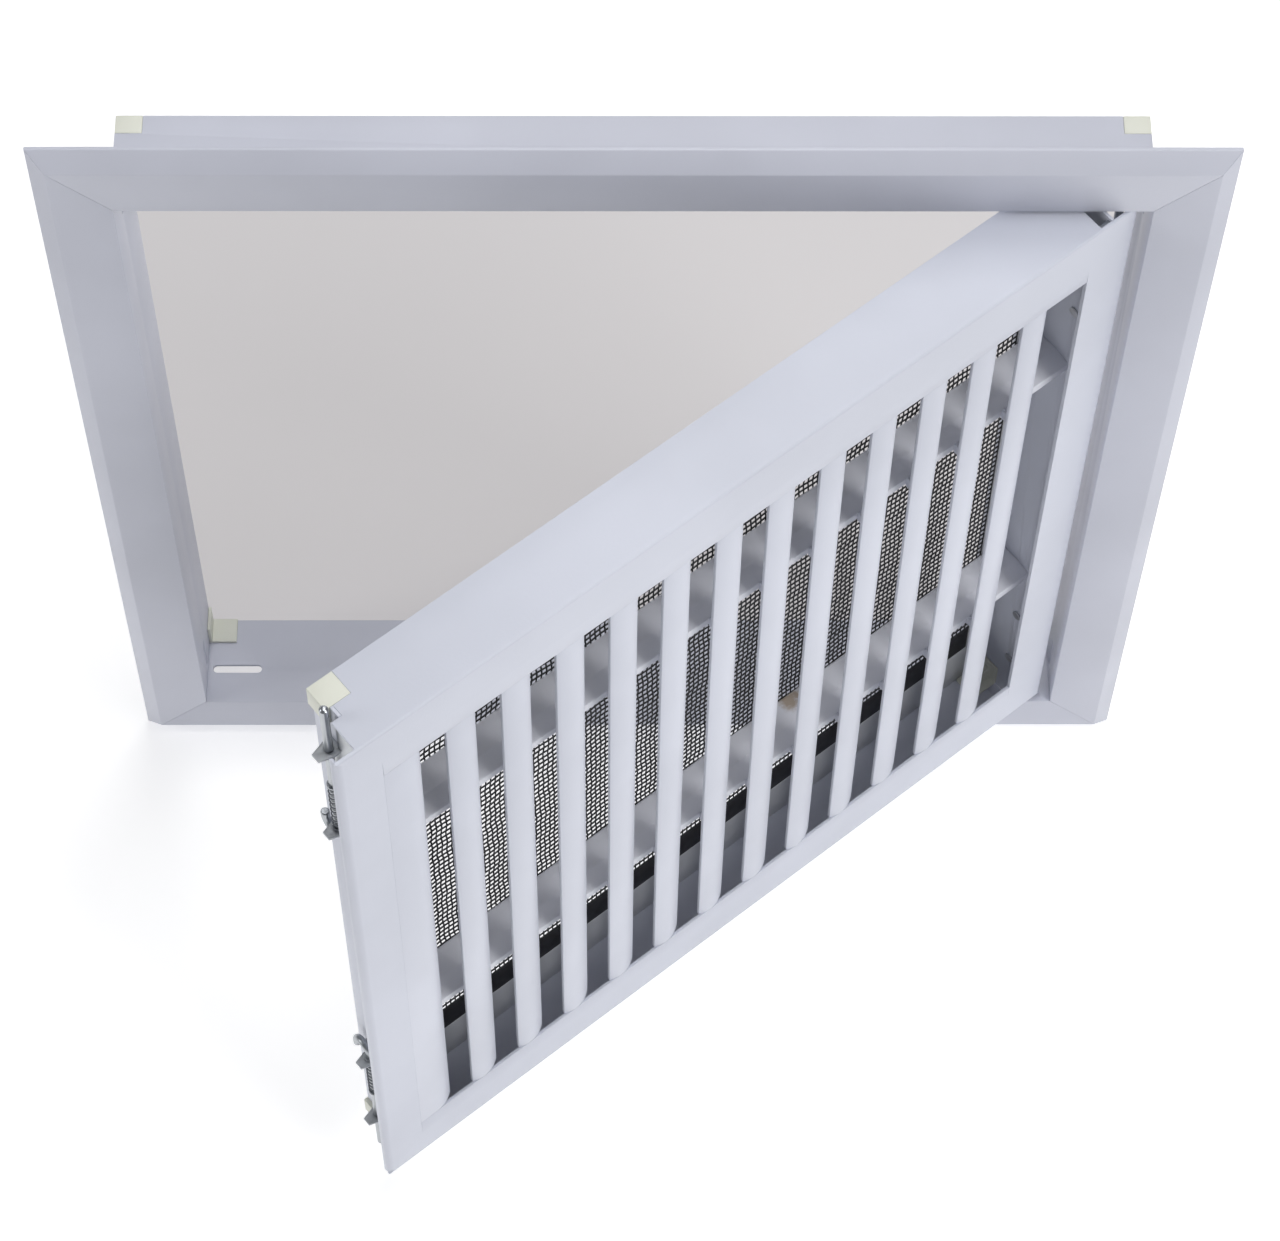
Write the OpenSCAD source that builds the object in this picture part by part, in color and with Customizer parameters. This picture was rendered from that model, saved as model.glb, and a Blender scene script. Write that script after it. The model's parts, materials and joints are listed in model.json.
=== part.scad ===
// Hinged return-air vent cover: a mitred outer frame with a duct neck, and a louvered door
// that swings on two spring pins and latches with two more.
// Origin: centre of the opening, on the wall plane. -Y is the front, +Z is up.

/* [Duct neck and flange] */
// Clear width inside the neck
neck_w = 400; // [380:5:460]
// Clear height inside the neck
neck_h = 400; // [380:5:460]
// Neck length, from the front face to its rear edge
neck_depth = 44.5; // [40:0.5:60]
// Neck wall thickness
neck_wall = 1.6; // [1.2:0.1:2.4]
// Flange width, from the opening to the outer edge
flange_w = 31; // [28:0.5:40]
// Flange metal thickness
flange_t = 1.6; // [1.2:0.1:2]
// How far the front face stands off the wall
flange_proj = 8; // [7:0.5:12]
// Width of the sloping outer edge
bevel_w = 7.5; // [6:0.5:9]
// Depth of the sloping outer edge
bevel_d = 6.4; // [5:0.2:6.6]

/* [Neck slots and corners] */
// Slot length
slot_len = 23; // [16:0.5:24]
// Slot width
slot_w = 4; // [3.8:0.1:6]
// Slot distance behind the front face
slot_depth = 18; // [16:0.5:20]
// Slot centre, from the neck's corner
slot_inset = 14; // [13:0.5:18]
// Cut-out in the neck's rear corner, along the wall
neck_notch_l = 9; // [6:0.5:12]
// Cut-out in the neck's rear corner, in depth
neck_notch_d = 8.5; // [6:0.5:12]
// Corner key leg length
key_leg = 42; // [30:1:60]
// Corner key strip width
key_w = 12; // [8:0.5:14]
// Corner key plate thickness
key_t = 2; // [1.6:0.1:3]
// Height of the ribs that hold the corner key
key_rib_h = 2.2; // [2:0.1:2.3]
// Thickness of those ribs
key_rib_t = 1; // [0.8:0.1:1.4]
// First rib's distance from the opening
key_rib_at = 4; // [3:0.5:6]

/* [Door] */
// How far the door stands open, in degrees
door_open = 38.8; // [0:0.2:50]
// Gap between the door and the neck on the free side
gap_free = 5; // [4:0.5:7]
// Gap between the door and the neck on the hinge side
gap_hinge = 7; // [5:0.5:9]
// Gap above and below the door
gap_end = 1.5; // [1.5:0.1:3]
// Depth of the door's walls
door_depth = 32; // [28:0.5:36]
// Metal thickness of the door's face
face_t = 1.6; // [1.2:0.1:2]
// Thickness of the door's walls
wall_t = 1.4; // [1:0.1:1.8]
// Face width of the free stile
stile_face = 19.3; // [18.5:0.1:21]
// Face width of the hinge stile
hinge_face = 23.6; // [22:0.1:26]
// Face width of the two rails
rail_face = 31.5; // [30:0.5:40]
// How far a stile's face overhangs its side wall
lip = 12.5; // [12.4:0.1:13]
// Rounding of the overhanging lip
lip_r = 3; // [2:0.1:3.5]
// How far the lip turns back
lip_return = 4.2; // [3.6:0.1:4.4]
// Rounding of the rails' front edge
rail_r = 1; // [1:0.1:2]
// Rear return of the rails, from the door's edge
rail_return = 30; // [20:0.5:31]
// How far the rails' walls pass over the free stile's side wall
rail_over = 3.3; // [2:0.1:4]
// How far the rails' walls stop short of the hinge stile's
rail_short = 5.5; // [3:0.5:8]
// Rear return of the stiles, from the side wall
stile_return = 12; // [10:0.5:16]
// Size of the corner blocks at the door's back
block = 11.5; // [9:0.5:12]
// How far they stand outside the side walls
block_out = 2; // [1:0.5:2.5]
// How far a corner block's tongues reach along the walls
tongue = 4; // [2:0.5:6]
// Thickness of the tongues
tongue_t = 1.4; // [1:0.1:1.6]

/* [Blades and bars] */
// Width of a front blade
blade_w = 15.2; // [13:0.1:17]
// Radius of a blade's crown
blade_r = 14; // [12:0.5:20]
// Thickness of a blade
blade_t = 1.4; // [1:0.1:1.8]
// Distance from a blade's left edge to its crown
blade_crown = 5.7; // [5:0.1:7]
// Width of the flat strip that joins the first blade to the free stile
first_flat = 3.6; // [3:0.1:4.5]
// Width of the last slot, beside the hinge stile
last_slot = 16.7; // [10:0.1:22]
// Front edge of the rear bars, behind the face
bar_front = 9.5; // [8:0.5:14]
// Thickness of a rear bar at its front edge
bar_t = 5; // [4:0.5:8]
// Thickness of a rear bar at its back
bar_back_t = 9.5; // [7:0.5:12]
// How much each side of a bar swells to its ridge
bar_swell = 1.2; // [0.6:0.1:1.6]
// Rounding of a bar's edges
bar_r = 0.8; // [0.4:0.1:1.2]
// Distance from the door's end to the middle of the nearer rear bar
bar_from_end = 112.5; // [106:0.5:118]
// Height of the lugs that carry the blades on the bars
lug_h = 6; // [4:0.5:8]

/* [Filter] */
// Thickness of the filter's border
filter_t = 1.2; // [1:0.1:1.6]
// Thickness of the net
net_t = 0.8; // [0.6:0.1:1]
// Width of a strand of the net
net_strand = 3; // [2:0.5:4]
// Height of the closed hems along the net's upper and lower edges
net_hem = 19.5; // [10:0.5:24]
// Clearance around the filter and behind the bars
filter_gap = 0.2; // [0.1:0.1:0.5]

/* [Spring bolts] */
// Pin diameter
pin_d = 3.5; // [3:0.1:3.6]
// Clearance between a pin and its holes, on the radius
pin_fit = 0.05; // [0.02:0.01:0.1]
// Hinge pins, from the door's side edge
pin_edge = 5; // [4.9:0.1:5.4]
// Latch pins, from the door's side edge
latch_edge = 8.5; // [8.2:0.1:8.6]
// Latch pins, behind the face
latch_depth = 18; // [16:0.5:20]
// Hinge pins, behind the face
hinge_depth = 6; // [5.8:0.1:8]
// How far a pin passes the door's end
pin_reach = 7.5; // [6:0.1:7.6]
// Metal thickness of a bracket
bracket_t = 1.2; // [0.8:0.1:1.4]
// Ear height above the side wall
ear_h = 10.3; // [10:0.1:10.4]
// Half width of an ear's tip
ear_tip = 2; // [1.6:0.1:2.6]
// Half width of an ear, across the pin
ear_half = 3.8; // [3.2:0.1:3.9]
// Bracket base beyond the pin, towards the back
base_back = 8; // [7.6:0.1:9]
// Width of the latch brackets' base, from the pin towards the front
latch_base = 14; // [12:0.5:14]
// Width of the hinge brackets' ears, from the pin towards the back
hinge_ear = 8; // [6:0.5:9]
// Outer ear, from the door's end
ear_outer = 23.5; // [20:0.5:26]
// Inner ear, from the door's end
ear_inner = 87; // [80:1:92]
// Collar that the spring pushes on, from the door's end
collar_at = 51; // [44:1:56]
// Collar thickness
collar_t = 1.2; // [1:0.1:1.6]
// Collar radius
collar_r = 2.6; // [2.4:0.1:2.6]
// Radius of the handle's bend
hook_r = 4.5; // [3:0.1:5]
// Length of the handle's turned-up end
hook_end = 3.5; // [2:0.5:8]
// Spring wire diameter
wire_d = 0.6; // [0.4:0.05:0.6]
// Number of turns in a spring
turns = 11; // [7:1:13]
// Rivet shank diameter
rivet_d = 3; // [2.4:0.1:3]
// Rivet head diameter
rivet_head = 4.8; // [4:0.1:4.8]
// Rivet head height
rivet_h = 0.8; // [0.6:0.1:1]
// Rivet places, from the door's end
rivet_1 = 34; // [30:1:40]
// Second rivet place, from the door's end
rivet_2 = 74; // [66:1:78]
// Rivet line, behind the pin
rivet_back = 5.2; // [5:0.1:5.4]

/* [Hidden] */
$fn = 64;

// Small overlap for cuts
over = 1;
// Half sizes of the opening
half_w = neck_w / 2;
half_h = neck_h / 2;
// The door when closed
door_left = -half_w + gap_free;
door_right = half_w - gap_hinge;
door_w = door_right - door_left;
door_mid = (door_left + door_right) / 2;
door_top = half_h - gap_end;
// Outer faces of the door's side walls
wall_left = door_left + lip;
wall_right = door_right - lip;
wall_half = (wall_right - wall_left) / 2;
inner_half = wall_half - wall_t;
// Hinge axis, and the pins' height above the side walls
hinge_x = door_right - pin_edge;
hinge_off = lip - pin_edge;
latch_off = lip - latch_edge;
pin_r = pin_d / 2;
hole_r = pin_r + pin_fit;
// The door's slots
clear_top = door_top - rail_face;
blade_count = 13;
blade_first = door_left + stile_face + first_flat;
blade_last = door_right - hinge_face - last_slot - blade_w;
blade_pitch = (blade_last - blade_first) / (blade_count - 1);
filter_depth = door_depth - wall_t - filter_t;
bar_back = filter_depth - filter_gap;
bar_z = door_top - bar_from_end;
bar_ridge = bar_front + 0.4 * (bar_back - bar_front);
// The filter's opening
net_w = wall_right - wall_left - 2 * stile_return;
net_h = 2 * (door_top - rail_return);
net_cols = 12;
net_rows = 10;
// The stop collar sits just inside the inner ear
stop_gap = 0.05;
stop_at = ear_inner + bracket_t + stop_gap;
hook_at = stop_at + collar_t + 2;
spring_top = collar_at + collar_t;
spring_r = pin_r + 0.2 + wire_d / 2;
// The rails' walls end beside the latch pins
over_end = latch_depth - pin_r - 1;
rivet_gap = 0.05;
white = [0.86, 0.87, 0.91];
cream = [0.90, 0.90, 0.84];
steel = [0.66, 0.68, 0.70];
black = [0.10, 0.10, 0.11];

// Depths are counted from the front face, so everything is moved back to the wall plane
module from_face() translate([0, -flange_proj, 0]) children();

// Carries the closed door's pieces to where the open door holds them
module on_door() from_face()
  translate([hinge_x, hinge_depth, 0]) rotate([0, 0, door_open])
    translate([-hinge_x, -hinge_depth, 0]) children();

// A section drawn as (depth, height), drawn out along X
module along_x(half_len)
  translate([-half_len, 0, 0]) rotate([90, 0, 90]) linear_extrude(2 * half_len) children();

// An outline drawn as (x, z), given a depth
module slab(from, to)
  translate([0, to, 0]) rotate([90, 0, 0]) linear_extrude(to - from) children();

module in_box(low, high) translate(low) cube(high - low);

// Copies a corner's piece to all four corners
module four_corners()
  for (side = [0, 1], end = [0, 1])
    mirror([side, 0, 0]) mirror([0, 0, end]) children();

// Outer frame

// The flange's section, with s counted outwards from the opening
module flange_section() {
  face_end = flange_w - bevel_w;
  slope = sqrt(bevel_w * bevel_w + bevel_d * bevel_d);
  inner_s = face_end - flange_t * (slope - bevel_w) / bevel_d;
  inner_d = ((bevel_w - flange_t) * bevel_d + flange_t * slope) / bevel_w;
  outer_rib = key_rib_at + key_w;
  rib_end = flange_t + key_rib_h;
  polygon([
    [neck_depth, 0], [0, 0], [0, face_end], [bevel_d, flange_w], [flange_proj, flange_w],
    [flange_proj, flange_w - flange_t], [inner_d, flange_w - flange_t],
    [flange_t, inner_s], [flange_t, outer_rib + key_rib_t], [rib_end, outer_rib + key_rib_t],
    [rib_end, outer_rib], [flange_t, outer_rib], [flange_t, key_rib_at],
    [rib_end, key_rib_at], [rib_end, key_rib_at - key_rib_t],
    [flange_t, key_rib_at - key_rib_t], [flange_t, neck_wall], [neck_depth, neck_wall]
  ]);
}

// A slot with round ends, along X
module neck_slot() {
  straight = slot_len - slot_w;
  for (x = [-straight / 2, straight / 2])
    translate([x, 0, -over]) cylinder(d = slot_w, h = neck_wall + 2 * over);
  in_box([-straight / 2, -slot_w / 2, -over], [straight / 2, slot_w / 2, neck_wall + over]);
}

// One side of the frame, drawn as the top one, with its ends cut at 45 degrees
module frame_side(half_len, out, pin_holes = []) color(white) from_face() difference() {
  intersection() {
    along_x(half_len + flange_w) translate([0, out]) flange_section();
    slab(-over, neck_depth + over) polygon([
      [-half_len + over, out - over], [half_len - over, out - over],
      [half_len + flange_w + over, out + flange_w + over],
      [-half_len - flange_w - over, out + flange_w + over]
    ]);
  }
  for (end = [-1, 1]) {
    translate([end * (half_len - slot_inset), slot_depth, out]) neck_slot();
    translate([end * half_len, neck_depth - neck_notch_d, out - over])
      translate([-neck_notch_l, 0, 0])
        cube([2 * neck_notch_l, neck_notch_d + over, neck_wall + 2 * over]);
  }
  for (x = pin_holes)
    translate([x, hinge_depth, out - over]) cylinder(r = hole_r, h = neck_wall + 2 * over);
}

module frame_top_rail() frame_side(half_w, half_h, [hinge_x]);
module frame_bottom_rail() rotate([0, 180, 0]) frame_side(half_w, half_h, [-hinge_x]);
module frame_left_stile() rotate([0, -90, 0]) frame_side(half_h, half_w);
module frame_right_stile() rotate([0, 90, 0]) frame_side(half_h, half_w);

// Flat L-shaped keys in the channel behind the flange, one across each mitre
module frame_corner_keys() color(steel) from_face() four_corners()
  translate([half_w, flange_t, half_h]) {
    in_box([-key_leg, 0, key_rib_at], [key_rib_at + key_w, key_t, key_rib_at + key_w]);
    in_box([key_rib_at, 0, -key_leg], [key_rib_at + key_w, key_t, key_rib_at + key_w]);
  }

// Plastic clips that close the neck's rear corners, with tongues inside the walls
module frame_corner_clips() color(cream) from_face() four_corners()
  translate([half_w, neck_depth, half_h]) {
    in_box([-neck_notch_l, -neck_notch_d, 0], [neck_wall, 0, neck_wall]);
    in_box([0, -neck_notch_d, -neck_notch_l], [neck_wall, 0, neck_wall]);
    in_box([-neck_notch_l - tongue, -neck_notch_d - tongue, -tongue_t], [0, 0, 0]);
    in_box([-tongue_t, -neck_notch_d - tongue, -neck_notch_l - tongue], [0, 0, 0]);
  }

// Door rails and stiles

// Takes the outer corner off a section, leaving a rounding of radius r
module corner_off(r) difference() {
  translate([-over, -over]) square(r + over);
  translate([r, r]) circle(r);
}

// A rail's section: face, outer wall and rear return, with height counted down from 0
module rail_section() difference() {
  union() {
    translate([0, -rail_face]) square([face_t, rail_face]);
    translate([0, -wall_t]) square([door_depth, wall_t]);
    translate([door_depth - wall_t, -rail_return]) square([wall_t, rail_return]);
  }
  mirror([0, 1]) corner_off(rail_r);
}

// A stile's section: rounded lip, face, side wall and rear return
module stile_section(face) {
  translate([0, -face]) square([face_t, face - lip_r]);
  translate([lip_r, -face_t]) square([lip_return - lip_r, face_t]);
  intersection() {
    translate([0, -lip_r]) square(lip_r);
    translate([lip_r, -lip_r]) difference() {
      circle(lip_r);
      circle(lip_r - face_t);
    }
  }
  translate([0, -lip - wall_t]) square([door_depth, wall_t]);
  translate([door_depth - wall_t, -lip - stile_return]) square([wall_t, stile_return]);
}

// The notch that a corner block fills, in the top right rear corner, grown by a gap
module block_notch(gap = 0) in_box(
  [wall_half + block_out - block - gap, door_depth - block - gap, door_top - block - gap],
  [wall_half + over, door_depth + over, door_top + over]);

// One rail, drawn as the top one about the door's middle
module door_rail() color(white) difference() {
  half = door_w / 2;
  union() {
    intersection() {
      along_x(half) translate([0, door_top]) rail_section();
      slab(-over, face_t) polygon([
        [-half, door_top], [half, door_top], [half - hinge_face, door_top - hinge_face],
        [half - hinge_face, clear_top], [stile_face - half, clear_top],
        [stile_face - half, door_top - stile_face]
      ]);
    }
    intersection() {
      along_x(inner_half) translate([0, door_top]) rail_section();
      in_box([-half, face_t, clear_top - over], [half, door_depth, door_top + over]);
    }
    in_box([-wall_half - rail_over, face_t, door_top - wall_t],
           [over - inner_half, over_end, door_top]);
  }
  block_notch();
  mirror([1, 0, 0]) block_notch();
  in_box([inner_half - rail_short, face_t, door_top - wall_t],
         [wall_half, door_depth - block + over, door_top + over]);
}

// One stile, drawn as the right one about the door's middle. pin is its pins' depth,
// and its side wall ends a distance under the rails' walls
module door_stile(face, pin, under = 0) color(white) difference() {
  half = door_w / 2;
  union() {
    intersection() {
      rotate([0, 90, 0]) along_x(door_top) translate([0, half]) stile_section(face);
      slab(-over, lip_return + over) polygon([
        [half, -door_top], [half, door_top],
        [half - face, door_top - face], [half - face, face - door_top]
      ]);
      in_box([0, -over, -door_top], [half, lip_return, door_top]);
    }
    intersection() {
      rotate([0, 90, 0]) along_x(door_top) translate([0, half]) stile_section(face);
      union() {
        in_box([inner_half, face_t, -door_top], [wall_half, door_depth, door_top]);
        in_box([0, face_t, rail_return - door_top],
               [wall_half, door_depth, door_top - rail_return]);
      }
    }
  }
  for (end = [0, 1]) mirror([0, 0, end]) {
    block_notch();
    in_box([inner_half - over, face_t, door_top - under],
           [half - lip_return, over_end, door_top + over]);
    for (down = [rivet_1, rivet_2])
      translate([inner_half - over, pin + rivet_back, door_top - down])
        rotate([0, 90, 0]) cylinder(r = rivet_d / 2 + rivet_gap, h = wall_t + 2 * over);
  }
}

module at_mid() on_door() translate([door_mid, 0, 0]) children();

module door_top_rail() at_mid() door_rail();
module door_bottom_rail() at_mid() mirror([0, 0, 1]) door_rail();
module door_hinge_stile() at_mid() door_stile(hinge_face, hinge_depth);
module door_free_stile() at_mid() mirror([1, 0, 0])
  door_stile(stile_face, latch_depth, wall_t);

// Flat keys behind the door's mitres
module door_corner_keys() color(steel) at_mid() four_corners()
  translate([inner_half, face_t, door_top - wall_t]) {
    leg = key_leg - stile_face / 2;
    in_box([-leg, 0, -key_w], [0, key_t, 0]);
    in_box([lip + wall_t - stile_face, 0, -leg], [0, key_t, 0]);
  }

// Plastic blocks that close the door's rear corners
module door_corner_blocks() color(cream) at_mid() four_corners()
  translate([wall_half, door_depth, door_top]) {
    in_box([block_out - block, -block, -block], [block_out, 0, 0]);
    reach = -block - tongue;
    back = -wall_t - filter_t - filter_gap;
    in_box([reach, reach, -wall_t - tongue_t], [-wall_t, back, -wall_t]);
    in_box([-wall_t - tongue_t, reach, reach], [-wall_t, back, -wall_t]);
  }

// Blades, bars and filter

// A crowned blade with a lug behind it on each rear bar
module front_blade(number, flat = 0) color(white) on_door()
  translate([blade_first + (number - 1) * blade_pitch, 0, 0]) {
    translate([0, 0, -clear_top]) linear_extrude(2 * clear_top) {
      intersection() {
        translate([blade_crown, blade_r]) difference() {
          circle(blade_r, $fn = 128);
          circle(blade_r - blade_t, $fn = 128);
        }
        translate([flat > 0 ? blade_crown : 0, 0])
          square([flat > 0 ? blade_w - blade_crown : blade_w, blade_r / 2]);
      }
      if (flat > 0) translate([-flat, 0]) square([flat + blade_crown, blade_t]);
    }
    for (z = [-bar_z, bar_z])
      translate([blade_crown - blade_t / 2, blade_t / 2, z - lug_h / 2])
        cube([blade_t, bar_front - blade_t / 2, lug_h]);
  }

module front_blade_01() front_blade(1, first_flat);
module front_blade_02() front_blade(2);
module front_blade_03() front_blade(3);
module front_blade_04() front_blade(4);
module front_blade_05() front_blade(5);
module front_blade_06() front_blade(6);
module front_blade_07() front_blade(7);
module front_blade_08() front_blade(8);
module front_blade_09() front_blade(9);
module front_blade_10() front_blade(10);
module front_blade_11() front_blade(11);
module front_blade_12() front_blade(12);
module front_blade_13() front_blade(13);

// A bar that thickens from its front edge to a ridge and on to its back, from side wall
// to side wall
module rear_bar(z) color(white) on_door()
  translate([door_mid, 0, z]) along_x(inner_half) offset(r = bar_r) {
    edge = bar_t / 2 - bar_r;
    back = bar_back_t / 2 - bar_r;
    ridge = edge + 0.4 * (back - edge) + bar_swell;
    polygon([
      [bar_front + bar_r, edge], [bar_ridge, ridge], [bar_back - bar_r, back],
      [bar_back - bar_r, -back], [bar_ridge, -ridge], [bar_front + bar_r, -edge]
    ]);
  }

module rear_bar_upper() rear_bar(bar_z);
module rear_bar_lower() rear_bar(-bar_z);

// The filter's flat border, in front of the rails' and stiles' rear returns
module filter_border() color(white) at_mid() {
  half = inner_half - filter_gap;
  top = door_top - wall_t - filter_gap;
  translate([0, filter_depth, 0]) difference() {
    in_box([-half, 0, -top], [half, filter_t, top]);
    in_box([-net_w / 2, -over, -net_h / 2], [net_w / 2, filter_t + over, net_h / 2]);
    translate([0, -filter_depth, 0]) four_corners() block_notch(filter_gap);
  }
}

// The net, as one wall with square gaps between two closed hems
module filter_net() color(black) at_mid()
  translate([0, filter_depth + (filter_t - net_t) / 2, 0]) difference() {
    step_x = (net_w - net_strand) / net_cols;
    step_z = (net_h - 2 * net_hem + net_strand) / net_rows;
    in_box([-net_w / 2, 0, -net_h / 2], [net_w / 2, net_t, net_h / 2]);
    for (col = [0 : net_cols - 1], row = [0 : net_rows - 1])
      translate([-net_w / 2 + net_strand + col * step_x, -over,
                 -net_h / 2 + net_hem + row * step_z])
        cube([step_x - net_strand, net_t + 2 * over, step_z - net_strand]);
  }

// Spring bolts, drawn at the top of the hinge side with the wall's face at x = 0,
// the pin's axis at y = 0 and the door's end at z = 0

module at_hinge(end) on_door() mirror([0, 0, end])
  translate([wall_right, hinge_depth, door_top]) children();
module at_latch(end) on_door() mirror([0, 0, end])
  translate([wall_left, latch_depth, door_top]) mirror([1, 0, 0]) children();

// A bracket: its base on the side wall, and two ears that narrow to their tips. The base
// may start further to the front and the outer ear may reach further back
module bracket(off, front, above, back) color(steel) difference() {
  union() {
    in_box([0, -front, -ear_inner - bracket_t], [bracket_t, base_back, -ear_outer]);
    if (above > 0)
      in_box([0, -front, -ear_outer - bracket_t], [bracket_t, -pin_r, above - ear_outer]);
    for (ear = [[ear_outer, back], [ear_inner, ear_half]])
      translate([0, 0, -ear[0] - bracket_t]) linear_extrude(bracket_t) polygon([
        [0, -ear_half], [off, -ear_half], [ear_h, -ear_tip], [ear_h, ear_tip],
        [off, ear[1]], [0, ear[1]]
      ]);
  }
  translate([off, 0, -ear_inner - bracket_t - over])
    cylinder(r = hole_r, h = ear_inner + 2 * over);
  for (down = [rivet_1, rivet_2])
    translate([-over, rivet_back, -down]) rotate([0, 90, 0])
      cylinder(r = rivet_d / 2 + rivet_gap, h = bracket_t + 2 * over);
}

module rivets() color(steel) for (down = [rivet_1, rivet_2])
  translate([-wall_t - rivet_h, rivet_back, -down]) rotate([0, 90, 0]) {
    cylinder(d = rivet_head, h = rivet_h);
    cylinder(d = rivet_d, h = wall_t + bracket_t + 2 * rivet_h);
    translate([0, 0, wall_t + bracket_t + rivet_h]) cylinder(d = rivet_head, h = rivet_h);
  }

// Pin with its chamfered tip, two collars and a hooked handle
module bolt(off) color(steel) translate([off, 0, 0]) {
  tip = pin_r / 2;
  translate([0, 0, -hook_at]) cylinder(r = pin_r, h = hook_at + pin_reach - tip);
  translate([0, 0, pin_reach - tip]) cylinder(r1 = pin_r, r2 = pin_r / 2, h = tip);
  for (down = [collar_at, stop_at])
    translate([0, 0, -down - collar_t]) cylinder(r = collar_r, h = collar_t);
  translate([0, hook_r, -hook_at]) rotate([0, 90, 0]) rotate([0, 0, -90])
    rotate_extrude(angle = 180) translate([hook_r, 0]) circle(pin_r);
  translate([0, 2 * hook_r, -hook_at]) cylinder(r = pin_r, h = hook_end);
}

// Points of a coil: rings of the wire along a helix that runs down from z = 0
function coil_ring(turn, drop) = [
  for (a = [0 : 60 : 300])
    let (r = spring_r + wire_d / 2 * cos(a))
      [r * cos(360 * turn), r * sin(360 * turn), -drop + wire_d / 2 * sin(a)]
];

module coil(off) {
  per_turn = 14;
  rings = turns * per_turn;
  sides = 6;
  top = spring_top + wire_d / 2;
  run = ear_inner - wire_d / 2 - top;
  points = [for (i = [0 : rings]) each coil_ring(i / per_turn, top + run * i / rings)];
  ends = [[for (s = [sides - 1 : -1 : 0]) s],
          [for (s = [0 : sides - 1]) rings * sides + s]];
  skin = [for (i = [0 : rings - 1], s = [0 : sides - 1])
    let (n = (s + 1) % sides, a = i * sides, b = a + sides) [a + s, a + n, b + n, b + s]];
  color(steel) translate([off, 0, 0]) polyhedron(points, concat(ends, skin), convexity = 10);
}

module latch_bracket_upper() at_latch(0)
  bracket(latch_off, latch_base, ear_outer - 2, ear_half);
module latch_bracket_lower() at_latch(1)
  bracket(latch_off, latch_base, ear_outer - 2, ear_half);
module hinge_bracket_upper() at_hinge(0)
  bracket(hinge_off, ear_half, 0, hinge_ear);
module hinge_bracket_lower() at_hinge(1)
  bracket(hinge_off, ear_half, 0, hinge_ear);
module latch_bolt_upper() at_latch(0) bolt(latch_off);
module latch_bolt_lower() at_latch(1) bolt(latch_off);
module hinge_bolt_upper() at_hinge(0) bolt(hinge_off);
module hinge_bolt_lower() at_hinge(1) bolt(hinge_off);
module latch_spring_upper() at_latch(0) coil(latch_off);
module latch_spring_lower() at_latch(1) coil(latch_off);
module hinge_spring_upper() at_hinge(0) coil(hinge_off);
module hinge_spring_lower() at_hinge(1) coil(hinge_off);
module bracket_rivets() for (end = [0, 1]) {
  at_hinge(end) rivets();
  at_latch(end) rivets();
}

frame_top_rail();
frame_bottom_rail();
frame_left_stile();
frame_right_stile();
frame_corner_keys();
frame_corner_clips();
door_top_rail();
door_bottom_rail();
door_free_stile();
door_hinge_stile();
door_corner_keys();
door_corner_blocks();
front_blade_01();
front_blade_02();
front_blade_03();
front_blade_04();
front_blade_05();
front_blade_06();
front_blade_07();
front_blade_08();
front_blade_09();
front_blade_10();
front_blade_11();
front_blade_12();
front_blade_13();
rear_bar_upper();
rear_bar_lower();
filter_border();
filter_net();
latch_bracket_upper();
latch_bracket_lower();
hinge_bracket_upper();
hinge_bracket_lower();
latch_bolt_upper();
latch_bolt_lower();
hinge_bolt_upper();
hinge_bolt_lower();
latch_spring_upper();
latch_spring_lower();
hinge_spring_upper();
hinge_spring_lower();
bracket_rivets();
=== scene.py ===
# %% [markdown]
# A louvered vent cover, dressed for the camera.
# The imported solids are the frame: every piece here sits exactly where its solid sits. The sheet
# metal gets its rolled edges, the filter gets a real net, and every surface gets a finish that
# is written as a few lines of shader maths.

# %% Load the solids
import bpy
import bmesh
import json
from math import cos, pi, radians, sin, tau
from mathutils import Matrix, Vector

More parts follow.
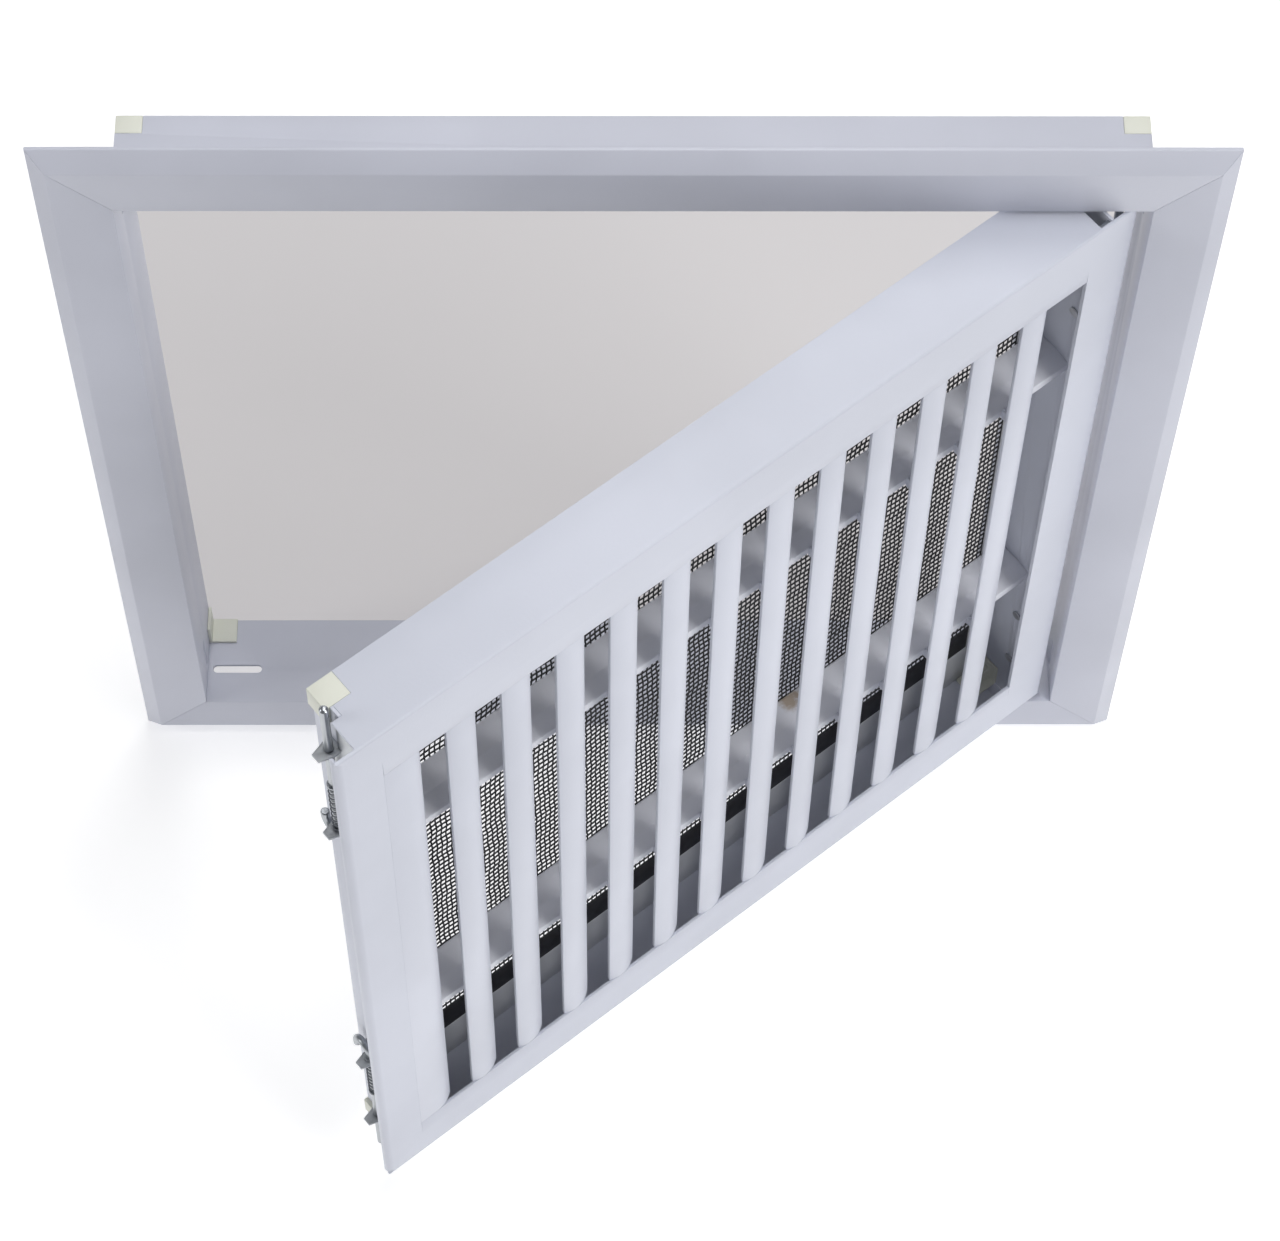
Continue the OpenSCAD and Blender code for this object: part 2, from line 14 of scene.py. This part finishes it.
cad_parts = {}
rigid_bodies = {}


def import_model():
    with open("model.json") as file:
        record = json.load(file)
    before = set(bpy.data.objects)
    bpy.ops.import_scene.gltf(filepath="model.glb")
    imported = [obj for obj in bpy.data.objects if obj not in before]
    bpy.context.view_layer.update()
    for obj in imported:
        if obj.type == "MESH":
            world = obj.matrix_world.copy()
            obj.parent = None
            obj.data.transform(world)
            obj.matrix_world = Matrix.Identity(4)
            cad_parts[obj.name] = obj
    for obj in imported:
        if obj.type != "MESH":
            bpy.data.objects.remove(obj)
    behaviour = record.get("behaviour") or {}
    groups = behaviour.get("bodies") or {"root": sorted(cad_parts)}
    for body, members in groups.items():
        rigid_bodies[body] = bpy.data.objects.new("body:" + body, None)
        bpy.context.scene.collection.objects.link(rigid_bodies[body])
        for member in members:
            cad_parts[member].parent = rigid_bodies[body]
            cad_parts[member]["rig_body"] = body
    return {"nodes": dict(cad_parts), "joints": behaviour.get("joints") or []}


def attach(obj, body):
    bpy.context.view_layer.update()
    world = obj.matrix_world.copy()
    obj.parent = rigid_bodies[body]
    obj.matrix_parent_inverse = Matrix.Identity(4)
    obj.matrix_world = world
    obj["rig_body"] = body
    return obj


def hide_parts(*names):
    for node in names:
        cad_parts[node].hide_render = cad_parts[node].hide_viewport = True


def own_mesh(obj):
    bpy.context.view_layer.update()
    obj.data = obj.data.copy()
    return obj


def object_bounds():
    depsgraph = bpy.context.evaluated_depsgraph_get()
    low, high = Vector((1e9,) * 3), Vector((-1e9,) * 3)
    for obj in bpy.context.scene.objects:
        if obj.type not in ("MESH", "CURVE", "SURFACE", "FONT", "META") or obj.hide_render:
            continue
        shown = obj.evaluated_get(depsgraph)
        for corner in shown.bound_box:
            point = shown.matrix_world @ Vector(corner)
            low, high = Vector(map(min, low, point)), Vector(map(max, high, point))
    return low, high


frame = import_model()
solid_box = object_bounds()

# %% [markdown]
# The door hangs open on its pins, so its own sizes are easiest to write as if it were shut.
# The swing joint says where the pins are, and its lower limit says how far the door has to turn
# to shut. One matrix then carries any point of the shut door to where the open door holds it.

# %% Where the door is
MM = 0.001
swing = next(j for j in frame["joints"] if j["name"] == "door_swing")
HINGE = Vector(swing["pos_m"])
OPEN = -radians(swing["range_deg"][0])
DOOR = Matrix.Translation(HINGE) @ Matrix.Rotation(OPEN, 4, "Z") @ Matrix.Translation(-HINGE)
SHUT = DOOR.inverted()
FRONT = -8 * MM


def shut_box(node):
    """Lowest and highest corner of a door piece, as if the door were shut."""
    spots = [SHUT @ v.co for v in frame["nodes"][node].data.vertices]
    low = Vector([min(p[i] for p in spots) for i in range(3)])
    high = Vector([max(p[i] for p in spots) for i in range(3)])
    return low, high


free_low, free_high = shut_box("door_free_stile")
hinge_low, hinge_high = shut_box("door_hinge_stile")
DOOR_LEFT, DOOR_RIGHT, DOOR_TOP = free_low.x, hinge_high.x, free_high.z
print("door: %.0f by %.0f mm, open %.1f degrees"
      % ((DOOR_RIGHT - DOOR_LEFT) / MM, 2 * DOOR_TOP / MM, OPEN * 180 / pi))

# %% [markdown]
# Shader maths reads best as plain sums. A wrapped socket knows its node tree, so that
# a * b + 1 adds the Math nodes by itself. Every other kind of node comes from one method, which
# sets the node's own options first and then fills its sockets with values or links.

# %% Sockets that do maths
class Socket:
    def __init__(self, tree, link):
        self.tree = tree
        self.link = link

    def maths(self, operation, other=0.0, swap=False):
        pair = [other, self] if swap else [self, other]
        return self.tree.make("ShaderNodeMath", {"operation": operation},
                              {0: pair[0], 1: pair[1]})

    def __add__(self, other):
        return self.maths("ADD", other)

    def __sub__(self, other):
        return self.maths("SUBTRACT", other)

    def __mul__(self, other):
        return self.maths("MULTIPLY", other)

    def __rsub__(self, other):
        return self.maths("SUBTRACT", other, swap=True)

    def __truediv__(self, other):
        return self.maths("DIVIDE", other)

    __radd__ = __add__
    __rmul__ = __mul__

    def power(self, other):
        return self.maths("POWER", other)

    def step(self, low, high):
        """0 below low, 1 above high, smooth between."""
        return self.tree.make("ShaderNodeMapRange", {"interpolation_type": "SMOOTHSTEP"},
                              {"Value": self, "From Min": low, "From Max": high})


class Finish:
    """A material under construction. It starts as one Principled shader."""

    def __init__(self, name):
        self.material = bpy.data.materials.new(name)
        self.material.use_nodes = True
        self.nodes = self.material.node_tree.nodes
        self.links = self.material.node_tree.links
        self.shader = self.nodes["Principled BSDF"]

    def make(self, kind, options=None, inputs=None, output=0):
        node = self.nodes.new(kind)
        for key, value in (options or {}).items():
            setattr(node, key, value)
        for key, value in (inputs or {}).items():
            self.fill(node.inputs[key], value)
        return Socket(self, node.outputs[output])

    def fill(self, socket, value):
        if isinstance(value, Socket):
            self.links.new(value.link, socket)
        else:
            socket.default_value = value

    def set(self, **inputs):
        for key, value in inputs.items():
            self.fill(self.shader.inputs[key.replace("_", " ")], value)

    def place(self):
        """The point on the piece, in metres."""
        return self.make("ShaderNodeTexCoord", output="Object")

    def scaled(self, scale):
        return self.make("ShaderNodeVectorMath", {"operation": "MULTIPLY"},
                         {0: self.place(), 1: Vector(scale)})

    def noise(self, scale, detail=2.0, roughness=0.5, vector=None):
        return self.make("ShaderNodeTexNoise", None,
                         {"Vector": vector or self.place(), "Scale": scale, "Detail": detail,
                          "Roughness": roughness}, output="Fac")

    def mix(self, amount, low, high):
        node = self.nodes.new("ShaderNodeMix")
        node.data_type = "RGBA"
        self.fill(node.inputs["Factor"], amount)
        self.fill(node.inputs[6], low if isinstance(low, Socket) else (*low, 1))
        self.fill(node.inputs[7], high if isinstance(high, Socket) else (*high, 1))
        return Socket(self, node.outputs[2])

    def bump(self, height, distance, strength=1.0):
        return self.make("ShaderNodeBump", None,
                         {"Height": height, "Distance": distance, "Strength": strength})


def srgb(red, green, blue):
    """A colour picked in the usual 0 to 255 steps, as the linear values that shaders use."""
    steps = [c / 255 for c in (red, green, blue)]
    return tuple(c / 12.92 if c < 0.04045 else ((c + 0.055) / 1.055) ** 2.4 for c in steps)


# %% [markdown]
# Powder coat is paint that was baked on as dust. It is nearly matt, it is never quite flat
# (the skin has a soft ripple like orange peel), and it holds a few fine specks. Two noise
# textures of very different scale give the ripple and a faint change of tone.

# %% Powder coat
def powder_coat(name, colour, ripple=0.00003, gloss=0.42):
    coat = Finish(name)
    tone = coat.noise(9.0, 3.0)
    specks = coat.noise(2600.0, 1.0).step(0.70, 0.78)
    pale = tuple(min(1.0, c * 1.03) for c in colour)
    dull = tuple(c * 0.955 for c in colour)
    body = coat.mix(tone.step(0.35, 0.65), dull, pale)
    coat.set(Base_Color=coat.mix(specks * 0.12, body, tuple(c * 0.6 for c in colour)),
             Roughness=coat.noise(60.0, 2.0) * 0.10 + (gloss - 0.05),
             Normal=coat.bump(coat.noise(750.0, 2.0), ripple))
    coat.shader.inputs["Specular IOR Level"].default_value = 0.45
    return coat.material


# The frame has the door's white coat; its colour is set a shade darker, painted shade for the
# frame's dim front.
FRAME_COAT_PAINTED_SHADE = powder_coat("frame_powder_coat_painted_shade", srgb(204, 206, 217))
DOOR_COAT = powder_coat("door_powder_coat", srgb(211, 214, 225))
BLADE_COAT = powder_coat("blade_powder_coat", srgb(214, 217, 228), gloss=0.38)

# The bars' coat is the door's white made much lighter: painted light, for the light the bars deep
# inside the door don't get.
# The lower bar carries a small tan smudge near its back edge, on the same painted-light white.
BAR_COAT_PAINTED_LIGHT = powder_coat("bar_powder_coat_painted_light", srgb(240, 241, 248), gloss=0.40)
smudge_on_painted_light = Finish("smudged_bar_coat_painted_light")
spot = DOOR @ Vector((DOOR_LEFT + 249 * MM, FRONT + 27 * MM, -81.5 * MM))
away = smudge_on_painted_light.make("ShaderNodeVectorMath", {"operation": "DISTANCE"},
                   {0: smudge_on_painted_light.place(), 1: spot}, output="Value")
stain = (1 - away.step(3.5 * MM, 8.5 * MM)) * smudge_on_painted_light.noise(240.0, 3.0).step(0.32, 0.6)
# Base colour here is the bars' painted-light white; the tan is a real stain on it.
smudge_on_painted_light.set(Base_Color=smudge_on_painted_light.mix(stain * 0.75, srgb(240, 241, 248), srgb(176, 150, 112)),
           Roughness=stain * 0.2 + 0.42, Normal=smudge_on_painted_light.bump(smudge_on_painted_light.noise(750.0, 2.0), 0.00003))

# %% [markdown]
# The corner clips are moulded plastic: a warmer white, a fine spark-eroded grain from the mould
# and no metal in it. The filter's border is a smoother plastic sheet.

# %% Plastics
def moulded_plastic(name, colour, grain, rough):
    plastic = Finish(name)
    cloud = plastic.noise(45.0, 2.0)
    plastic.set(Base_Color=plastic.mix(cloud, tuple(c * 0.94 for c in colour), colour),
                Roughness=plastic.noise(300.0, 2.0) * 0.12 + rough,
                Normal=plastic.bump(plastic.noise(grain, 3.0, 0.6), 0.00003, 0.6))
    return plastic.material


CREAM = moulded_plastic("cream_moulded_plastic", srgb(226, 227, 214), 2200.0, 0.42)
BORDER = moulded_plastic("filter_border_plastic", srgb(214, 216, 220), 900.0, 0.36)
NET = moulded_plastic("black_net_plastic", srgb(30, 30, 34), 1500.0, 0.48)

# %% [markdown]
# The bolts are drawn steel rod with a thin zinc plating. Drawing leaves fine lines along the
# rod, so the noise is stretched along the height, and the plating is cloudy where it cooled.

# %% Plated steel
def plated_steel(name, colour, rough, stretch=(1, 1, 0.04)):
    steel = Finish(name)
    lines = steel.noise(900.0, 2.0, vector=steel.scaled(stretch))
    cloud = steel.noise(120.0, 2.0)
    steel.set(Base_Color=steel.mix(cloud, tuple(c * 0.82 for c in colour), colour),
              Metallic=1.0, Roughness=lines * 0.18 + cloud * 0.10 + rough,
              Normal=steel.bump(lines, 0.00001, 0.5))
    return steel.material


ZINC = plated_steel("zinc_plated_steel", srgb(178, 182, 186), 0.16)
# The brackets' sheet is the rods' zinc made lighter in colour: painted light for bright
# reflections on the ears.
PLATE_PAINTED_LIGHT = plated_steel("zinc_plated_sheet_painted_light", srgb(206, 209, 212), 0.36, (1, 1, 1))
SPRING = plated_steel("spring_wire_steel", srgb(128, 132, 138), 0.22, (1, 1, 1))
RIVET = plated_steel("rivet_aluminium", srgb(214, 215, 218), 0.30, (1, 1, 1))

# %% [markdown]
# Folded sheet has no sharp edge anywhere. The solids do, because they are kept simple, so each
# one is copied, its triangles are merged back into whole faces, and every edge that turns
# sharply gets a narrow bevel. The highlight that runs along such an edge is what makes it metal.

# %% Rolled edges
def add_piece(name, bm, finish, body, replaced=()):
    """Turns a bmesh into a piece that rides on a body."""
    for face in bm.faces:
        face.smooth = True
    for edge in bm.edges:
        edge.smooth = len(edge.link_faces) == 2 and edge.calc_face_angle() < radians(32)
    mesh = bpy.data.meshes.new(name)
    bm.to_mesh(mesh)
    bm.free()
    mesh.materials.append(finish)
    piece = bpy.data.objects.new(name, mesh)
    bpy.context.scene.collection.objects.link(piece)
    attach(piece, body)
    if replaced:
        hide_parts(*replaced)
    return piece


def on_mitre(edge):
    """Whether an edge of a door rail or stile lies on a mitre, where two pieces meet flush."""
    for vert in edge.verts:
        spot = SHUT @ vert.co
        inset = DOOR_TOP - abs(spot.z)
        sides = min(abs(spot.x - DOOR_LEFT - inset), abs(DOOR_RIGHT - spot.x - inset))
        if sides > 0.05 * MM or spot.y > FRONT + 2 * MM:
            return False
    return True


def rolled_copy(node, width, finish, segments=2, angle=28):
    bm = bmesh.new()
    bm.from_mesh(frame["nodes"][node].data)
    bmesh.ops.remove_doubles(bm, verts=bm.verts, dist=2e-6)
    bmesh.ops.dissolve_limit(bm, angle_limit=radians(0.6), use_dissolve_boundaries=False,
                             verts=bm.verts, edges=bm.edges)
    sharp = [e for e in bm.edges
             if len(e.link_faces) == 2 and e.calc_face_angle() > radians(angle)
             and not (node.startswith("door_") and on_mitre(e))]
    bmesh.ops.bevel(bm, geom=sharp, offset=width, offset_type="OFFSET", segments=segments,
                    profile=0.5, affect="EDGES", material=-1, clamp_overlap=False)
    body = frame["nodes"][node]["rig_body"]
    return add_piece(node + "_dressed", bm, finish, body, [node])


for side in ("top_rail", "bottom_rail", "left_stile", "right_stile"):
    rolled_copy("frame_" + side, 0.35 * MM, FRAME_COAT_PAINTED_SHADE)
for side in ("top_rail", "bottom_rail", "free_stile", "hinge_stile"):
    rolled_copy("door_" + side, 0.3 * MM, DOOR_COAT)
for number in range(1, 14):
    rolled_copy("front_blade_%02d" % number, 0.3 * MM, BLADE_COAT)
rolled_copy("rear_bar_upper", 0.3 * MM, BAR_COAT_PAINTED_LIGHT)
rolled_copy("rear_bar_lower", 0.3 * MM, smudge_on_painted_light.material)
for node in ("frame_corner_clips", "door_corner_blocks"):
    rolled_copy(node, 0.3 * MM, CREAM)
rolled_copy("filter_border", 0.15 * MM, BORDER)
for side in ("latch", "hinge"):
    for place in ("upper", "lower"):
        rolled_copy("%s_bracket_%s" % (side, place), 0.2 * MM, PLATE_PAINTED_LIGHT)
for node in ("frame_corner_keys", "door_corner_keys"):
    rolled_copy(node, 0.2 * MM, ZINC)
rolled_copy("bracket_rivets", 0.15 * MM, RIVET)

# %% [markdown]
# The net behind the blades is extruded plastic: thin strands, cells of about 2 by 4 mm, and
# never quite flat. A grid of quads is bent a little, then the wireframe operator turns every
# edge of it into a strand, which keeps all the crossings joined. A closed hem of the same
# plastic runs along the top and the bottom.

# %% Filter net
low, high = shut_box("filter_net")
HEM = 19.5 * MM
wide, tall = high.x - low.x, high.z - low.z - 2 * HEM + 0.4 * MM
CELL_X, CELL_Z = 2.5 * MM, 3.9 * MM
bm = bmesh.new()
bmesh.ops.create_grid(bm, x_segments=round(wide / CELL_X), y_segments=round(tall / CELL_Z),
                      size=0.5)
bmesh.ops.scale(bm, vec=(wide - 0.4 * MM, tall, 1), verts=bm.verts)
for vert in bm.verts:
    x, z = vert.co.x, vert.co.y
    edge = min(wide / 2 - abs(x), tall / 2 - abs(z)) / (12 * MM)
    hold = min(1.0, max(0.0, edge))
    vert.co.x += hold * MM * (0.5 * sin(z * 95 + 1.3) * cos(x * 31) + 0.35 * sin(z * 410 + x * 60))
    vert.co.y += hold * MM * (0.6 * sin(x * 83) * cos(z * 27 + 0.6) + 0.5 * sin(x * 370 + 1))
    vert.co.z = hold * 0.09 * MM * (sin(x * 52 + 0.4) + cos(z * 61))
bmesh.ops.wireframe(bm, faces=bm.faces, thickness=0.86 * MM, offset=0.0, use_replace=True,
                    use_boundary=True, use_even_offset=True, use_relative_offset=False)
for end in (-1, 1):
    size = Matrix.Diagonal((high.x - low.x, HEM, 0.7 * MM, 1))
    spot = Matrix.Translation((0, end * (tall / 2 + HEM / 2 - 0.2 * MM), 0))
    made = bmesh.ops.create_cube(bm, size=1, matrix=spot @ size)
    edges = list({e for v in made["verts"] for e in v.link_edges})
    bmesh.ops.bevel(bm, geom=edges, offset=0.2 * MM, offset_type="OFFSET", segments=2,
                    profile=0.5, affect="EDGES", material=-1)
middle = Vector(((low.x + high.x) / 2, (low.y + high.y) / 2, 0))
stand = DOOR @ Matrix.Translation(middle) @ Matrix.Rotation(pi / 2, 4, "X")
bmesh.ops.transform(bm, matrix=stand, verts=bm.verts)
net = add_piece("filter_net_strands", bm, NET, "door", ["filter_net"])
print("net: %d faces" % len(net.data.polygons))

# %% [markdown]
# The four spring bolts are the same piece turned four ways. Each is a rod: a circle is extruded
# along its length, then spun half a turn for the hook. The two collars are spun discs that sit
# on it. It is drawn at the upper end with its axis on Z, and the door's end at zero.

# %% One bolt
bolt_low, bolt_high = shut_box("hinge_bolt_upper")
PIN = 1.75 * MM
HOOK = 4.5 * MM
REACH = bolt_high.z - DOOR_TOP
LENGTH = DOOR_TOP - bolt_low.z - HOOK - PIN


def ring(bm, radius, height, sides=24):
    made = bmesh.ops.create_circle(bm, cap_ends=False, segments=sides, radius=radius,
                                   matrix=Matrix.Translation((0, 0, height)))
    verts = made["verts"]
    return list({e for v in verts for e in v.link_edges if all(w in verts for w in e.verts)})


def push(bm, edges, shift, scale=1.0):
    """Extrudes a ring of edges, moves it and resizes it about its own middle."""
    made = bmesh.ops.extrude_edge_only(bm, edges=edges)["geom"]
    verts = [g for g in made if isinstance(g, bmesh.types.BMVert)]
    bmesh.ops.translate(bm, vec=Vector(shift), verts=verts)
    middle = sum((v.co for v in verts), Vector()) / len(verts)
    bmesh.ops.scale(bm, vec=(scale, scale, scale), verts=verts,
                    space=Matrix.Translation(-middle))
    return [g for g in made if isinstance(g, bmesh.types.BMEdge)]


def lathe(bm, profile, sides=32):
    """Turns a profile of (radius, height) points round the Z axis."""
    verts = [bm.verts.new((r, 0, h)) for r, h in profile]
    edges = [bm.edges.new(pair) for pair in zip(verts, verts[1:])]
    bmesh.ops.spin(bm, geom=verts + edges, cent=(0, 0, 0), axis=(0, 0, 1), dvec=(0, 0, 0),
                   angle=tau, steps=sides, use_merge=True, use_duplicate=False)


def close_up(bm):
    bmesh.ops.remove_doubles(bm, verts=bm.verts, dist=1e-6)
    bmesh.ops.holes_fill(bm, edges=[e for e in bm.edges if e.is_boundary], sides=0)
    bmesh.ops.recalc_face_normals(bm, faces=bm.faces)


def bolt_shape():
    bm = bmesh.new()
    edges = ring(bm, PIN / 2, REACH)
    edges = push(bm, edges, (0, 0, -0.1 * MM), 1.2)
    edges = push(bm, edges, (0, 0, -0.7 * MM), 1.667)
    edges = push(bm, edges, (0, 0, -(REACH - 0.8 * MM + LENGTH)))
    bend = bmesh.ops.spin(bm, geom=edges, cent=(0, HOOK, -LENGTH), axis=(1, 0, 0),
                          dvec=(0, 0, 0), angle=pi, steps=18, use_duplicate=False)
    edges = [g for g in bend["geom_last"] if isinstance(g, bmesh.types.BMEdge)]
    edges = push(bm, edges, (0, 0, 3.1 * MM))
    push(bm, edges, (0, 0, 0.4 * MM), 0.75)
    for height in (-51 * MM, -88.25 * MM):
        r, t = 2.6 * MM, 1.2 * MM
        lathe(bm, [(PIN - 0.1 * MM, height), (r - 0.2 * MM, height), (r, height - 0.2 * MM),
                   (r, height - t + 0.2 * MM), (r - 0.2 * MM, height - t),
                   (PIN - 0.1 * MM, height - t), (PIN - 0.1 * MM, height)])
    close_up(bm)
    return bm


# %% [markdown]
# A spring is a small circle that is spun round the rod while it climbs: the spin operator takes
# a rise for each step. The last turn at each end climbs only as far as the wire is thick, as on
# a real spring, whose dead turns lie flat on the collar and on the bracket.

# %% One spring
WIRE = 0.6 * MM
COIL = PIN + 0.2 * MM + WIRE / 2
SPRING_TOP, SPRING_END = -52.25 * MM, -86.95 * MM


def spring_shape(turns=11, per_turn=24):
    bm = bmesh.new()
    bmesh.ops.create_circle(bm, cap_ends=False, segments=10, radius=WIRE / 2)
    turn = Matrix.Translation((COIL, 0, SPRING_TOP - WIRE / 2)) @ Matrix.Rotation(pi / 2, 4, "X")
    bmesh.ops.transform(bm, matrix=turn, verts=bm.verts)
    edges = list(bm.edges)
    live = SPRING_TOP - SPRING_END - WIRE - 2 * WIRE
    for count, rise in ((1, WIRE), (turns - 2, live), (1, WIRE)):
        steps = count * per_turn
        made = bmesh.ops.spin(bm, geom=edges, cent=(0, 0, 0), axis=(0, 0, 1),
                              dvec=(0, 0, -rise / steps), angle=tau * count, steps=steps,
                              use_duplicate=False)
        edges = [g for g in made["geom_last"] if isinstance(g, bmesh.types.BMEdge)]
    close_up(bm)
    return bm


# %% [markdown]
# Each bolt's place follows from its own solid. On the hinge side the pin stands to the right of
# the side wall, on the latch side to the left, so that side is the mirror image. A mirrored mesh
# is inside out, so its normals are worked out again. Each spring rides on the door with a mesh of
# its own; how far a pulled bolt would press it together is worked out and printed, not drawn.

# %% Four bolts with their springs
def bolt_place(side, place):
    low, high = shut_box("%s_bracket_%s" % (side, place))
    bolt_low, bolt_high = shut_box("%s_bolt_%s" % (side, place))
    x = (bolt_low.x + bolt_high.x) / 2
    y = bolt_low.y + 2.6 * MM
    flip = Matrix.Diagonal((1 if side == "hinge" else -1, 1, 1 if place == "upper" else -1, 1))
    level = DOOR_TOP if place == "upper" else -DOOR_TOP
    return DOOR @ Matrix.Translation((x, y, level)) @ flip


for side in ("latch", "hinge"):
    for place in ("upper", "lower"):
        where = bolt_place(side, place)
        label = "%s_bolt_%s" % (side, place)
        bm = bolt_shape()
        bmesh.ops.transform(bm, matrix=where, verts=bm.verts)
        bmesh.ops.recalc_face_normals(bm, faces=bm.faces)
        add_piece(label + "_rod", bm, ZINC, label + "_body", [label])
        label = "%s_spring_%s" % (side, place)
        bm = spring_shape()
        bmesh.ops.transform(bm, matrix=where, verts=bm.verts)
        bmesh.ops.recalc_face_normals(bm, faces=bm.faces)
        wire = add_piece(label + "_wire", bm, SPRING, "door", [label])
        slide = next(j for j in frame["joints"] if j["name"] == "%s_slide_%s" % (side, place))
        pressed = 1 + slide["range_m"][0] / (SPRING_TOP - SPRING_END)
        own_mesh(wire)
print("springs shorten to %.2f of their length" % pressed)

# %% [markdown]
# The floor is a plain white sheet far larger than the view. It takes the object's shadow. A little
# of its white is its own light, so that the open floor is pure white while the shade under the
# frame still shows. Behind the frame, where the neck closes it in, a pool of soft grey with less
# of the sheet's own light is painted into it: a painted shadow.

# %% Floor
floor_finish = Finish("studio_floor")
parts = floor_finish.make("ShaderNodeSeparateXYZ", None, {0: floor_finish.place()})
spot_x, spot_y = parts, Socket(floor_finish, parts.link.node.outputs[1])
# Painted shadow: a soft grey pool behind the frame, with a darker colour and less of the floor's
# own glow.
side = (spot_x + 0.002).maths("ABSOLUTE") - (spot_y - 0.054) * 0.26
painted_shadow_pool = ((1 - side.step(0.207, 0.233)) * spot_y.step(0.010, 0.045)
        * (1 - spot_y.step(0.305, 0.350)))
floor_finish.set(Base_Color=floor_finish.mix(painted_shadow_pool, (0.93, 0.925, 0.92), (0.62, 0.60, 0.60)),
                 Roughness=0.95,
                 Emission_Color=floor_finish.mix(painted_shadow_pool, (0.42, 0.42, 0.42), (0.13, 0.125, 0.125)),
                 Emission_Strength=1.0)
bm = bmesh.new()
bmesh.ops.create_grid(bm, x_segments=1, y_segments=1, size=6.0)
bmesh.ops.translate(bm, vec=(0, 0, solid_box[0][2] - 0.0004), verts=bm.verts)
mesh = bpy.data.meshes.new("studio_floor")
bm.to_mesh(mesh)
bm.free()
mesh.materials.append(floor_finish.material)
floor = bpy.data.objects.new("studio_floor", mesh)
bpy.context.scene.collection.objects.link(floor)

# %% [markdown]
# Studio light: a lamp high on the right shapes the door, two broad ones overhead and behind
# light the tops and the bars inside the door, and one on the left picks out the left edges.
# Nothing shines from the front, so the frame's flat front stays a step darker than its slopes.

# %% Light
def soft_lamp(name, place, target, size, power, colour=(1, 1, 1)):
    light = bpy.data.lights.new(name, "AREA")
    light.shape = "SQUARE"
    light.size = size
    light.energy = power
    light.color = colour
    lamp = bpy.data.objects.new(name, light)
    lamp.location = place
    lamp.rotation_euler = (Vector(target) - Vector(place)).to_track_quat("-Z", "Y").to_euler()
    bpy.context.scene.collection.objects.link(lamp)
    return lamp


soft_lamp("overhead", (0.3, 0.1, 2.6), (0, -0.1, 0), 1.2, 18)
soft_lamp("high_behind", (0.1, 1.4, 2.1), (0, -0.1, 0), 1.2, 14)
soft_lamp("right_key", (1.8, -1.35, 1.9), (0, -0.1, 0), 1.3, 29)
soft_lamp("left_rim", (-2.2, -0.4, 1.3), (-0.1, 0, 0), 0.9, 10)
world = bpy.data.worlds.new("studio")
world.use_nodes = True
world.node_tree.nodes["Background"].inputs["Color"].default_value = (0.93, 0.95, 1.0, 1)
world.node_tree.nodes["Background"].inputs["Strength"].default_value = 0.24
bpy.context.scene.world = world

# %% [markdown]
# The camera stands above and in front, looking steeply down, with a long lens. Its place, turn
# and lens were worked out from the corners of the frame and of the door.

# %% Camera
PITCH, YAW, ROLL = radians(60.701), radians(1.055), radians(0.890)
camera_data = bpy.data.cameras.new("camera")
camera_data.sensor_fit = "HORIZONTAL"
camera_data.sensor_width = 36
camera_data.lens = 3883.9 * 36 / 1280
camera_data.shift_x = (640 - 638.25) / 1280
camera_data.shift_y = -(620.5 - 619.78) / 1280
camera_data.clip_end = 50
camera = bpy.data.objects.new("camera", camera_data)
ahead = Vector((sin(YAW) * cos(PITCH), cos(YAW) * cos(PITCH), -sin(PITCH)))
right = Vector((cos(YAW), -sin(YAW), 0))
above = right.cross(ahead)
turned_right = right * cos(ROLL) + above * sin(ROLL)
turned_above = above * cos(ROLL) - right * sin(ROLL)
view = Matrix((turned_right, turned_above, -ahead)).transposed().to_4x4()
camera.matrix_world = Matrix.Translation((-0.01195, -0.87527, 1.42519)) @ view
bpy.context.scene.collection.objects.link(camera)
bpy.context.scene.camera = camera
bpy.context.scene.view_settings.view_transform = "Standard"
